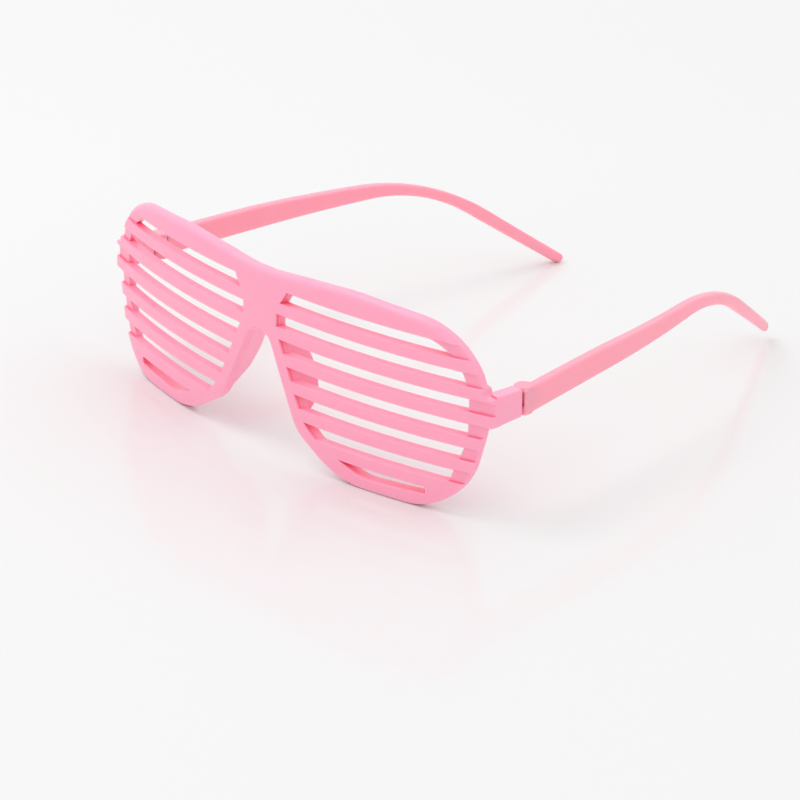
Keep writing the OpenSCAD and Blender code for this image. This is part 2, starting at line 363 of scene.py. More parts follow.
def corner(before: Point, place: Point, after: Point, radius: float, steps: int = 0) -> list[Point]:
    """Rounds one corner of an outline.

    Args:
        before: The point before the corner.
        place: The corner.
        after: The point after it.
        radius: The radius of the arc, or 0 to keep the corner.
        steps: The number of chords, or 0 for one about every ARC_STEP degrees.

    Returns:
        The points of the arc.
    """
    here = Vector(place)
    if radius == 0.0:
        return [place]
    one = (Vector(before) - here).normalized()
    two = (Vector(after) - here).normalized()
    half = math.acos(max(-1.0, min(1.0, one.dot(two)))) / 2
    centre = here + (one + two).normalized() * radius / math.sin(half)
    start = here + one * radius / math.tan(half) - centre
    turn = math.pi - 2 * half
    way = -1.0 if one.cross(two) > 0 else 1.0
    count = steps or max(2, math.ceil(math.degrees(turn) / ARC_STEP))
    first = math.atan2(start.y, start.x)
    angles = [first + way * turn * number / count for number in range(count + 1)]
    return [(centre.x + radius * math.cos(a), centre.y + radius * math.sin(a)) for a in angles]


def rounded(corners: Sequence[Point3], closed: bool = True) -> list[Point]:
    """Rounds the corners of an outline.

    Args:
        corners: The two coordinates and the radius of each corner.
        closed: Whether the last corner joins the first.

    Returns:
        The outline's points.
    """
    count = len(corners)
    points: list[Point] = []
    for number, (first, second, radius) in enumerate(corners):
        if not closed and number in (0, count - 1):
            points.append((first, second))
            continue
        before = corners[number - 1][:2]
        after = corners[(number + 1) % count][:2]
        points.extend(corner(before, (first, second), after, radius))
    return points


def across(path: Sequence[Point], height: float) -> float:
    """Reads an open path's first coordinate where its second has a value.

    Args:
        path: The path's points, by rising or falling second coordinate.
        height: The second coordinate.

    Returns:
        The first coordinate there.
    """
    points = sorted(path, key=lambda point: point[1])
    if height <= points[0][1]:
        return points[0][0]
    for low, high in zip(points, points[1:]):
        if height <= high[1]:
            share = (height - low[1]) / max(high[1] - low[1], 1e-9)
            return lerp(low[0], high[0], share)
    return points[-1][0]


def inset(loop: Sequence[Point], amounts: Sequence[float]) -> list[Point]:
    """Moves a closed anticlockwise outline inwards, by its own amount at each point.

    Args:
        loop: The outline's points.
        amounts: How far each point moves.

    Returns:
        The moved points.
    """
    moved = []
    for number, (x, z) in enumerate(loop):
        out = outwards(loop, number)
        moved.append((x - out.x * amounts[number], z - out.y * amounts[number]))
    return moved


def outwards(loop: Sequence[Point], number: int) -> Vector:
    """Gives the way out of a closed anticlockwise outline at one of its points.

    Args:
        loop: The outline's points.
        number: The point's number.

    Returns:
        The outward vector, a little longer than 1 at a corner.
    """
    here = Vector(loop[number])
    one = (here - Vector(loop[number - 1])).normalized()
    two = (Vector(loop[(number + 1) % len(loop)]) - here).normalized()
    way = (one + two).normalized()
    stretch = min(MITRE, 1.0 / max(1e-9, way.dot(one)))
    return Vector((way.y, -way.x)) * stretch


def pick(piece: Solid) -> None:
    """Selects one object and nothing else, and makes it the active one."""
    bpy.ops.object.select_all(action="DESELECT")
    piece.select_set(True)
    bpy.context.view_layer.objects.active = piece


def loft(name: str, rings: Sequence[Sequence[Point3]]) -> Solid:
    """Extrudes a face from ring to ring into a closed solid.

    Args:
        name: The solid's name.
        rings: Loops of points, all with the same number of points.

    Returns:
        The solid.
    """
    bpy.ops.object.select_all(action="DESELECT")
    bpy.ops.mesh.primitive_circle_add(vertices=len(rings[0]), radius=1.0, fill_type="NGON")
    solid = bpy.context.object
    solid.name = name
    bpy.ops.object.mode_set(mode="EDIT")
    mesh = bmesh.from_edit_mesh(solid.data)
    order = mesh.verts.layers.int.new("order")
    for number, vert in enumerate(mesh.verts):
        vert[order] = number
        vert.co = rings[0][number]
    bmesh.update_edit_mesh(solid.data)
    for ring in rings[1:]:
        bpy.ops.mesh.extrude_region_move()
        mesh = bmesh.from_edit_mesh(solid.data)
        order = mesh.verts.layers.int["order"]
        for vert in mesh.verts:
            if vert.select:
                vert.co = ring[vert[order]]
        bmesh.update_edit_mesh(solid.data)
    bpy.ops.mesh.select_all(action="SELECT")
    bpy.ops.mesh.normals_make_consistent(inside=False)
    bpy.ops.object.mode_set(mode="OBJECT")
    return solid


def post(name: str, place: Point, low: float, high: float, radius: float, edge: float = 0.0) -> Solid:
    """Makes an upright round post, with its two rims bevelled.

    Args:
        name: The post's name.
        place: The x and y of its axis.
        low: The height of its lower end.
        high: The height of its upper end.
        radius: Its radius.
        edge: The width of the bevel, or 0 for none.

    Returns:
        The post.
    """
    rings = [(radius, low), (radius, high)]
    if edge > 0.0:
        rounding = round_off(edge, 3)
        lower = [(radius - inwards, low + up) for inwards, up in rounding]
        upper = [(radius - inwards, high - down) for inwards, down in reversed(rounding)]
        rings = lower + upper
    turns = [heading(360 / POST_SIDES * number) for number in range(POST_SIDES)]
    loops = []
    for wide, height in rings:
        loops.append([(place[0] + wide * x, place[1] + wide * y, height) for x, y in turns])
    return loft(name, loops)


def rectangle(low: Point, high: Point, radius: float) -> list[Point]:
    """Draws a rectangle with rounded corners.

    Args:
        low: Its corner with both coordinates at their lowest.
        high: Its corner with both at their highest.
        radius: The radius of its corners.

    Returns:
        Its points, five to a corner.
    """
    corners = (low, (high[0], low[1]), high, (low[0], high[1]))
    ring = []
    for number, place in enumerate(corners):
        ring += corner(corners[number - 1], place, corners[(number + 1) % 4], radius, 4)
    return ring


def stand(ring: Sequence[Point], y: float) -> list[Point3]:
    """Stands a flat ring up across the glasses, at a distance back."""
    return [(x, y, z) for x, z in ring]


def combine(base: Solid, others: Sequence[Solid], operation: str) -> None:
    """Adds solids to another or cuts them out of it, one after the other.

    Args:
        base: The solid that is changed.
        others: The solids that are used up.
        operation: UNION or DIFFERENCE.
    """
    for other in others:
        cut = base.modifiers.new("cut", "BOOLEAN")
        cut.operation = operation
        cut.solver = "MANIFOLD"
        cut.object = other
        pick(base)
        bpy.ops.object.modifier_apply(modifier=cut.name)
        bpy.data.objects.remove(other)


def cut_across(piece: Solid, places: Sequence[float], axis: Point3) -> None:
    """Cuts edges across a piece, so that it can bend there.

    Args:
        piece: The piece.
        places: The distances of the cuts along the axis.
        axis: The axis.
    """
    pick(piece)
    bpy.ops.object.mode_set(mode="EDIT")
    for place in places:
        bpy.ops.mesh.select_all(action="SELECT")
        bpy.ops.mesh.bisect(plane_co=Vector(axis) * place, plane_no=axis)
    bpy.ops.object.mode_set(mode="OBJECT")


def mirror_half(piece: Solid) -> None:
    """Cuts a half off at the middle and mirrors it.

    Args:
        piece: The left half, which reaches a little past the middle.
    """
    pick(piece)
    mirror = piece.modifiers.new("mirror", "MIRROR")
    mirror.use_axis = (True, False, False)
    mirror.use_bisect_axis = (True, False, False)
    mirror.use_bisect_flip_axis = (False, False, False)
    mirror.merge_threshold = MERGE / 2
    bpy.ops.object.modifier_apply(modifier=mirror.name)


def finish_mesh(piece: Solid) -> None:
    """Puts a solid made in millimetres in its place, in metres, and smooths its shading.

    Args:
        piece: The solid, in the front's own coordinates.
    """
    pick(piece)
    bpy.ops.object.mode_set(mode="EDIT")
    bpy.ops.mesh.select_all(action="SELECT")
    bpy.ops.mesh.remove_doubles(threshold=MERGE)
    bpy.ops.mesh.dissolve_degenerate(threshold=MERGE)
    bpy.ops.mesh.select_all(action="SELECT")
    bpy.ops.mesh.normals_make_consistent(inside=False)
    bpy.ops.object.mode_set(mode="OBJECT")
    for vert in piece.data.vertices:
        vert.co = (Vector(vert.co) - Vector((0.0, MIDDLE_Y, 0.0))) * MM
    pick(piece)
    bpy.ops.object.shade_smooth_by_angle(angle=math.radians(SHARP))
    weighted = piece.modifiers.new("weighted", "WEIGHTED_NORMAL")
    weighted.keep_sharp = True
    weighted.weight = 60
    bpy.ops.object.modifier_apply(modifier=weighted.name)


@dataclass(frozen=True)
class Hinge:
    """The sizes that the front and the temples share round a hinge pin."""

    place: Point = (66.3, 23.3)
    tongue_low: float = 26.5
    tongue_high: float = 29.8
    tongue_r: float = 1.7
    tongue_round: float = 0.15
    gap_low: float = 26.35
    gap_high: float = 29.95
    gap_r: float = 2.0
    knuckle_r: float = 2.3
    knuckle_round: float = 0.2
    boss_top: float = 30.85
    boss_round: float = 0.3
    front_bore_r: float = 0.8
    arm_bore_r: float = 0.76
    pin_r: float = 0.75
    pin_round: float = 0.15
    pin_sunk: float = 0.1
    pin_top: float = 30.25
    below: float = 20.0
    above: float = 35.0


@dataclass(frozen=True)
class Edge:
    """How round the front and back edges are on one stretch of the outline."""

    front: float
    back: float


@dataclass
class FrontMoulding:
    """Brow bar, bridge, rims, slats, nose pads and end pieces, moulded as one.

    Each outline is a run of corners: the two coordinates and the radius of each.
    """

    hinge: Hinge = Hinge()
    face_r: float = 221.0
    face_swell: float = 0.52
    lean: float = 2.5
    lean_h: float = 36.7167
    depth: float = 3.0
    cut_step: float = 2.8

    outline: tuple[Point3, ...] = (
        (-3.0, 46.33, 0.0),
        (3.5, 46.33, 14.0),
        (14.0, 47.3, 70.0),
        (30.0, 48.1, 60.0),
        (67.0, 45.85, 19.6),
        (66.4, 22.5, 20.0),
        (60.9, 0.0, 18.5),
        (27.8, 0.0, 26.0),
        (13.6, 8.9, 11.0),
        (3.0, 30.6, 4.5),
        (-3.0, 30.6, 0.0),
    )
    ear: tuple[Point3, ...] = (
        (66.2, 33.05, 0.0),
        (66.5, 31.35, 1.2),
        (68.9, 31.15, 0.7),
        (68.9, 23.95, 0.4),
        (66.45, 23.95, 0.0),
    )
    side_x: float = 65.0
    ear_from: float = 33.1
    ear_to: float = 23.9

    brow_edge: Edge = Edge(1.7, 0.8)
    side_edge: Edge = Edge(0.4, 1.0)
    foot_edge: Edge = Edge(0.6, 0.5)
    ear_edge: Edge = Edge(0.38, 0.35)
    ear_in: float = 65.6
    ear_low: float = 23.0
    ear_high: float = 33.3
    brow_z: float = 35.0
    brow_facing: float = 0.2
    brow_blend: float = 0.6
    foot_x: float = 50.0

    ledge: float = 0.85
    ledge_round: float = 0.4
    ledge_held: float = 1.0
    ledge_from: float = 54.0
    ledge_skin: float = 0.01

    slat_n: int = 6
    slat_h: float = 3.0
    slat_pitch: float = 6.1833
    slat_depth: float = 2.4
    slat_round: float = 0.3
    gap_end: float = 76.0
    gap_spare: float = 0.03
    gap_hair: float = 0.001
    gap_sweep: float = 2.5
    nose_flare: float = 0.7
    deep_from: float = 0.3
    wall_step: float = 0.3
    open_top: float = 42.5
    nose_side: tuple[Point3, ...] = (
        (9.3, 42.5, 0.0),
        (6.0, 37.3, 5.0),
        (6.0, 32.6, 5.0),
        (16.9, 9.3, 16.0),
        (24.0, 6.4, 0.0),
    )
    outer_side: tuple[Point3, ...] = (
        (44.0, 42.5, 0.0),
        (62.3, 42.5, 13.5),
        (62.3, 19.5, 20.0),
        (57.3, 6.9, 0.0),
    )
    crescent: tuple[Point3, ...] = (
        (27.7, 5.4, 0.0),
        (34.5, 2.75, 14.0),
        (52.35, 3.65, 0.5),
        (52.35, 5.3, 0.5),
        (44.0, 5.4, 60.0),
    )
    crescent_round: float = 0.3
    recess: tuple[Point3, ...] = (
        (57.35, 6.0, 0.5),
        (62.35, 19.5, 20.0),
        (62.35, 42.53, 13.5),
        (9.55, 42.53, 0.3),
        (6.25, 37.3, 5.0),
        (6.25, 32.6, 5.0),
        (17.15, 9.6, 16.0),
        (27.0, 5.3, 0.5),
        (52.3, 5.3, 0.5),
    )

    pad_front: tuple[Point3, ...] = (
        (27.8, 0.0, 0.0),
        (13.7, 8.9, 8.0),
        (3.0, 30.6, 4.5),
        (-3.0, 30.6, 0.0),
    )
    pad_back: tuple[Point3, ...] = (
        (1.5, 10.6, 0.0),
        (7.6, 15.4, 3.0),
        (9.1, 20.8, 6.0),
        (8.7, 26.4, 3.0),
        (5.6, 29.6, 1.5),
        (2.2, 30.5, 0.0),
    )
    pad_low: float = 10.9
    pad_high: float = 30.3
    pad_thick: float = 1.5
    pad_root: float = 1.5
    pad_round: float = 0.6
    pad_sunk: float = 0.02
    pad_least: float = 0.4
    pad_splay: float = 0.26
    pad_steps: int = 28

    block_in: float = 65.5
    block_out: float = 68.9
    block_front: float = 12.0
    block_back: float = 20.5
    block_low: Point = (24.0, 24.4)
    block_high: Point = (31.65, 31.3)
    block_stations: Point = (12.3, 16.0)
    block_round: float = 0.4
    block_shrink: float = 0.6
    root_from: float = 19.8
    root_in: float = 65.55
    root_out: float = 67.3

    def rim(self) -> list[Point]:
        """Draws the left half's outline with the end piece's front, clockwise from the brow.

        Returns:
            The outline's points, which reach a little past the middle.
        """
        outline = rounded(self.outline)
        beside = [number for number, place in enumerate(outline) if place[0] > self.side_x]
        first = next(number for number in beside if outline[number][1] < self.ear_from)
        last = next(number for number in beside if outline[number][1] < self.ear_to)
        return outline[:first] + rounded(self.ear, closed=False) + outline[last:]

    def edge_sizes(self, loop: Sequence[Point]) -> tuple[list[float], list[float]]:
        """Chooses how round the front and back edges are along the outline.

        Args:
            loop: The outline, anticlockwise.

        Returns:
            The radius of the front edge and of the back edge at each point.
        """
        front = []
        back = []
        for number, (x, z) in enumerate(loop):
            upwards = outwards(loop, number).y
            if x > self.ear_in and self.ear_low < z < self.ear_high:
                edge = self.ear_edge
            elif upwards > self.brow_facing and z > self.brow_z:
                share = min(1.0, (upwards - self.brow_facing) / self.brow_blend)
                edge = Edge(lerp(self.side_edge.front, self.brow_edge.front, share), self.brow_edge.back)
            elif x > self.foot_x:
                edge = self.side_edge
            else:
                edge = self.foot_edge
            front.append(edge.front)
            back.append(edge.back)
        return front, back

    def slab(self) -> Solid:
        """Lofts the whole front with its rounded edges, still flat.

        Returns:
            The solid, with its depth along y.
        """
        loop = self.rim()[::-1]
        front, back = self.edge_sizes(loop)
        rings = []
        for away, down in round_off(1.0, 6):
            rings.append(([r * away for r in front], [r * down for r in front]))
        for away, down in round_off(1.0, 4)[::-1]:
            rings.append(([r * away for r in back], [self.depth - r * down for r in back]))
        return loft("front_moulding", self.flat_rings(loop, rings))

    def under_slab(self) -> Solid:
        """Lofts the sunk ledge's own slab, which shows only past the openings' outer sides.

        Returns:
            The solid, with its depth along y.
        """
        loop = self.rim()[::-1]
        back = self.edge_sizes(loop)[1]
        hold = [0.0 if x > self.ledge_from else self.ledge_held for x, _ in loop]
        low = self.depth - self.ledge_skin
        rings = []
        for away, down in round_off(self.ledge_round, 4):
            rings.append(([held + away for held in hold], [self.ledge + down for _ in loop]))
        for away, down in round_off(1.0, 4)[::-1]:
            rings.append(([held + r * away for held, r in zip(hold, back)], [low - r * down for r in back]))
        return loft("ledge", self.flat_rings(loop, rings))

    @staticmethod
    def flat_rings(loop: Sequence[Point],
                   rings: Sequence[tuple[Sequence[float], Sequence[float]]]) -> list[list[Point3]]:
        """Sets out an outline's rings, each moved in and back by its own amounts.

        Args:
            loop: The outline, anticlockwise.
            rings: For each ring, how far each point lies in and how deep.

        Returns:
            The rings' points.
        """
        made = []
        for amounts, depths in rings:
            flat = inset(loop, amounts)
            made.append([(x, depth, z) for (x, z), depth in zip(flat, depths)])
        return made

    def front_cutter(self, low: float, high: float) -> Solid:
        """Makes the cutter of one gap between slats, out past the rim's side.

        Args:
            low: The height of the gap's lower edge.
            high: The height of its upper edge.

        Returns:
            The cutter, which flares towards the front.
        """
        nose = rounded(self.nose_side, closed=False)
        made = []
        for wide, depth in flare(self.slat_round, 6):
            heights = [lerp(low - wide, high + wide, number / 8) for number in range(9)]
            ring = [(across(nose, z) - wide * self.nose_flare, z) for z in heights]
            ring += [(self.gap_end, high + wide), (self.gap_end, low - wide)]
            made.append(stand(ring, depth))
        return loft("front_cutter", made)

    def deep_cutter(self, low: float, high: float) -> Solid:
        """Makes the cutter of one gap behind the front layer, a hair wider than the gap.

        Args:
            low: The height of the gap's lower edge.
            high: The height of its upper edge.

        Returns:
            The cutter.
        """
        nose = rounded(self.nose_side, closed=False)
        outer = rounded(self.outer_side, closed=False)
        low = low - self.gap_spare
        high = high + self.gap_spare if high < self.open_top - 1.0 else high - self.gap_hair
        inner = [lerp(low, high, number / 8) for number in range(9)]
        sweep = [lerp(low, high, 1 - (1 - number / 16) ** self.gap_sweep) for number in range(17)]
        ring = [(across(nose, z) + self.wall_step, z) for z in inner]
        ring += [(across(outer, z), z) for z in sweep[::-1]]
        return loft("deep_cutter", [stand(ring, depth) for depth in (self.deep_from, CUT_TO)])

    def foot_slit(self) -> Solid:
        """Makes the cutter of the crescent slit under the lowest slat.

        Returns:
            The cutter, which flares towards the front.
        """
        loop = rounded(self.crescent)
        made = []
        for wide, depth in flare(self.crescent_round, 5):
            made.append(stand(inset(loop, [-wide] * len(loop)), depth))
        return loft("foot_slit", made)

    def back_recess(self) -> Solid:
        """Makes the cutter that sets the slats in behind the rims' back.

        Returns:
            The cutter.
        """
        loop = rounded(self.recess)
        return loft("back_recess", [stand(loop, depth) for depth in (self.slat_depth, CUT_TO)])

    def face_y(self, x: float, z: float, depth: float = 0.0) -> float:
        """Gives how far back the front lies at a place, at a depth below its face.

        Args:
            x: Distance from the middle.
            z: Height.
            depth: Depth below the face.

        Returns:
            The distance back from the bridge's front face.
        """
        radius = self.face_r + (z - self.lean_h) * self.face_swell
        forward = (self.lean_h - z) * math.tan(math.radians(self.lean))
        return radius - math.sqrt((radius - depth) ** 2 - x * x) - forward

    def bend(self, piece: Solid) -> None:
        """Bends the flat front round the face.

        Args:
            piece: The flat front.
        """
        for vert in piece.data.vertices:
            vert.co.y = self.face_y(vert.co.x, vert.co.z, vert.co.y)

    def nose_pad(self) -> Solid:
        """Lofts the nose pad up along the nose edge.

        Returns:
            The pad, in the front's own coordinates.
        """
        edge = rounded(self.pad_front, closed=False)
        back = rounded(self.pad_back, closed=False)
        made = []
        for number in range(self.pad_steps + 1):
            height = lerp(self.pad_low, self.pad_high, number / self.pad_steps)
            wall = across(edge, height) + self.pad_sunk
            front = self.face_y(wall, height, self.pad_root)
            end = max(across(back, height), front + self.pad_least)
            away = self.pad_splay * max(0.0, end - self.face_y(wall, height, self.depth))
            rounding = round_off(min(self.pad_round, (end - front) / 2), 4)
            ring = [(wall, front, height), (wall + self.pad_thick, front, height)]
            for inwards, down in rounding[::-1]:
                ring.append((wall + away + self.pad_thick - inwards, end - down, height))
            for inwards, down in rounding:
                ring.append((wall + away + inwards, end - down, height))
            made.append(ring)
        return loft("nose_pad", made)

    def end_block(self) -> Solid:
        """Lofts the block that runs back from the rim's corner to the hinge.

        Returns:
            The block, in the front's own coordinates.
        """
        stations = [(0.0, y) for y in self.block_stations]
        for inwards, back in round_off(self.block_round, 4)[::-1]:
            stations.append((inwards, self.block_back - back))
        made = []
        for small, y in stations:
            share = (y - self.block_front) / (self.block_back - self.block_front)
            low = (self.block_in + small, lerp(*self.block_low, share) + small)
            high = (self.block_out - small, lerp(*self.block_high, share) - small)
            made.append(stand(rectangle(low, high, self.block_round - small * self.block_shrink), y))
        return loft("end_block", made)

    def tongue(self) -> list[Solid]:
        """Makes the hinge's middle knuckle and the root that joins it to the end piece.

        Returns:
            The knuckle and the root.
        """
        low = self.hinge.tongue_low
        high = self.hinge.tongue_high
        edge = self.hinge.tongue_round
        knuckle = post("tongue", self.hinge.place, low, high, self.hinge.tongue_r, edge)
        stations = (self.root_from, self.hinge.place[1])
        ring = rectangle((self.root_in, low), (self.root_out, high), edge)
        return [knuckle, loft("root", [stand(ring, y) for y in stations])]

    def cut_openings(self, front: Solid, ledge: Solid) -> None:
        """Cuts the gaps between the slats, and joins the two layers.

        Args:
            front: The front slab.
            ledge: The ledge's slab, which is used up.
        """
        for number in range(1, self.slat_n + 1):
            low = self.open_top - number * self.slat_pitch + self.slat_h
            high = low + self.slat_pitch - self.slat_h
            combine(front, [self.front_cutter(low, high)], "DIFFERENCE")
            combine(ledge, [self.deep_cutter(low, high)], "DIFFERENCE")
        combine(front, [ledge], "UNION")
        combine(front, [self.back_recess(), self.foot_slit()], "DIFFERENCE")

    def build(self) -> Solid:
        """Builds the whole front.

        Returns:
            The front, in metres.
        """
        front = self.slab()
        self.cut_openings(front, self.under_slab())
        count = int(self.block_out / self.cut_step)
        cut_across(front, [self.cut_step * number for number in range(1, count + 1)], (1.0, 0.0, 0.0))
        self.bend(front)
        knuckle, root = self.tongue()
        combine(front, [self.end_block(), self.nose_pad(), knuckle, root], "UNION")
        bore = post("bore", self.hinge.place, self.hinge.below, self.hinge.above, self.hinge.front_bore_r)
        combine(front, [bore], "DIFFERENCE")
        mirror_half(front)
        finish_mesh(front)
        return front


@dataclass
class Temple:
    """A flat arm with its ear end bent down, and two knuckles round the hinge pin."""

    hinge: Hinge = Hinge()
    joint_y: float = 21.4
    outer_x: float = 68.9
    thick: float = 2.8
    lean_in: float = 7.35
    curve_y: float = 55.0
    curve_r: float = 290.0
    low_z: float = 24.05
    high_z: float = 30.6
    crown: Point3 = (54.0, 31.45, 300.0)
    top_fall: float = -1.2
    low_rise: float = 2.4
    drop: float = -36.6
    taper: float = 1.3
    top_r: float = 62.0
    low_r: float = 45.0
    tip: Point = (141.2, 1.4)
    tip_r: float = 1.4
    tip_turns: tuple[float, ...] = (20.0, 38.0, 54.0, 68.0, 80.0)
    edge: float = 0.75
    fullest: float = 0.49
    softening: float = 0.55
    front_round: float = 0.5
    way_in: float = 62.8
    way_out: float = 68.3
    way_from: float = 20.0
    way_round: float = 0.02
    straight_steps: int = 22
    bend_steps: int = 14
    drop_steps: int = 7

    def outer(self, y: float) -> float:
        """Gives the x of the arm's outer face.

        Args:
            y: The distance back.

        Returns:
            The x there.
        """
        lean = math.radians(self.lean_in)
        if y <= self.curve_y:
            return self.outer_x - (y - self.joint_y) * math.tan(lean)
        knee = self.outer_x - (self.curve_y - self.joint_y) * math.tan(lean)
        turned = math.asin((y - self.curve_y) / self.curve_r + math.sin(lean))
        return knee + self.curve_r * (math.cos(turned) - math.cos(lean))

    @staticmethod
    def crossing(place: Point, angle: float, other: Point, other_angle: float) -> Point:
        """Finds where two lines cross.

        Args:
            place: A point on the first line.
            angle: The first line's angle in degrees.
            other: A point on the second line.
            other_angle: The second line's angle in degrees.

        Returns:
            The point where they cross.
        """
        u = heading(angle)
        v = heading(other_angle)
        gap = (other[0] - place[0], other[1] - place[1])
        share = (gap[0] * v[1] - gap[1] * v[0]) / (u[0] * v[1] - u[1] * v[0])
        return (place[0] + u[0] * share, place[1] + u[1] * share)

    def edges(self) -> tuple[list[Point], list[Point]]:
        """Sets out matched points along the arm's lower and upper edges.

        Returns:
            The lower edge's points and the upper edge's, from the hinge to the tip.
        """
        ahead = heading(self.drop)
        aside = (-ahead[1] * self.tip_r, ahead[0] * self.tip_r)
        tip_top = (self.tip[0] + aside[0], self.tip[1] + aside[1])
        tip_low = (self.tip[0] - aside[0], self.tip[1] - aside[1])
        crown = self.crown[:2]
        start_low = (self.joint_y, self.low_z)
        bend_top = self.crossing(crown, self.top_fall, tip_top, self.drop - self.taper / 2)
        bend_low = self.crossing(start_low, self.low_rise, tip_low, self.drop + self.taper / 2)
        brow = rounded(((self.joint_y, self.high_z, 0.0), self.crown, (*bend_top, 0.0)), closed=False)
        ridge = [(z, y) for y, z in brow]
        arc_top = corner(crown, bend_top, tip_top, self.top_r, self.bend_steps)
        arc_low = corner(start_low, bend_low, tip_low, self.low_r, self.bend_steps)
        low: list[Point] = []
        top: list[Point] = []
        for number in range(self.straight_steps):
            share = number / self.straight_steps
            y_top = lerp(self.joint_y, arc_top[0][0], share)
            low.append(between(start_low, arc_low[0], share))
            top.append((y_top, across(ridge, y_top)))
        low += arc_low
        top += arc_top
        for number in range(1, self.drop_steps + 1):
            share = number / self.drop_steps
            low.append(between(arc_low[-1], tip_low, share))
            top.append(between(arc_top[-1], tip_top, share))
        for turn in self.tip_turns:
            along = self.tip_r * math.sin(math.radians(turn))
            wide = math.cos(math.radians(turn))
            middle = (self.tip[0] + ahead[0] * along, self.tip[1] + ahead[1] * along)
            low.append((middle[0] - aside[0] * wide, middle[1] - aside[1] * wide))
            top.append((middle[0] + aside[0] * wide, middle[1] + aside[1] * wide))
        return low, top

    def section(self, low: Point, top: Point, small: float, sides: float,
                soften: float = 0.0) -> list[Point3]:
        """Draws the arm's rounded section between its two edges.

        Args:
            low: The lower edge's point, as distance back and height.
            top: The upper edge's point.
            small: How much the section is drawn in above and below.
            sides: How much it is drawn in at its two faces.
            soften: How much rounder its corners are than at the hinge.

        Returns:
            The section's points.
        """
        length = math.dist(low, top)
        way = ((top[0] - low[0]) / length, (top[1] - low[1]) / length)
        most = min((length - 2 * small) * self.fullest, self.thick * self.fullest - sides)
        radius = min(self.edge + soften, most)
        made = []
        for along, wide in rectangle((small, sides), (length - small, self.thick - sides), radius):
            y = low[0] + way[0] * along
            z = low[1] + way[1] * along
            made.append((self.outer(y) - wide / math.cos(math.radians(self.lean_in)), y, z))
        return made

    def arm(self) -> Solid:
        """Lofts the arm.

        Returns:
            The arm, in the front's own coordinates.
        """
        low, top = self.edges()
        made = []
        for inwards, back in round_off(self.front_round, 4):
            start_low = (self.joint_y + back, self.low_z)
            start_top = (self.joint_y + back, self.high_z)
            made.append(self.section(start_low, start_top, inwards, inwards))
        count = len(low)
        turns = (0.0,) * (count - len(self.tip_turns)) + self.tip_turns
        for number in range(1, count):
            past = max(0.0, (number - self.straight_steps) / (count - self.straight_steps))
            sides = self.thick / 2 * (1 - math.cos(math.radians(turns[number])))
            made.append(self.section(low[number], top[number], 0.0, sides, self.softening * past))
        return loft("arm", made)

    def room(self) -> list[Solid]:
        """Makes the cutters that leave room for the tongue and the pin.

        Returns:
            The room round the tongue, the way in for its root, and the pin's blind bore.
        """
        hinge = self.hinge
        low = hinge.gap_low
        high = hinge.gap_high
        round_tongue = post("relief", hinge.place, low, high, hinge.gap_r)
        stations = (self.way_from, hinge.place[1])
        ring = rectangle((self.way_in, low), (self.way_out, high), self.way_round)
        way = loft("way", [stand(ring, y) for y in stations])
        bore = post("bore", hinge.place, hinge.below, hinge.pin_top, hinge.arm_bore_r)
        return [round_tongue, way, bore]

    def build(self, side: Side) -> Solid:
        """Builds one temple.

        Args:
            side: Its side.

        Returns:
            The temple, in metres.
        """
        hinge = self.hinge
        arm = self.arm()
        radius = hinge.knuckle_r
        knuckle = post("low_knuckle", hinge.place, self.low_z, hinge.gap_low, radius, hinge.knuckle_round)
        boss = post("boss", hinge.place, hinge.gap_high, hinge.boss_top, radius, hinge.boss_round)
        combine(arm, [knuckle, boss], "UNION")
        combine(arm, self.room(), "DIFFERENCE")
        for vert in arm.data.vertices:
            vert.co.x *= side.value
        arm.name = f"{side.name.lower()}_temple_arm"
        finish_mesh(arm)
        return arm

    def pin(self, side: Side) -> Solid:
        """Builds one hinge pin, pushed up from below.

        Args:
            side: Its side.

        Returns:
            The pin, in metres.
        """
        hinge = self.hinge
        place = (hinge.place[0] * side.value, hinge.place[1])
        name = f"{side.name.lower()}_pin"
        pin = post(name, place, self.low_z + hinge.pin_sunk, hinge.pin_top, hinge.pin_r, hinge.pin_round)
        finish_mesh(pin)
        return pin


# The studio

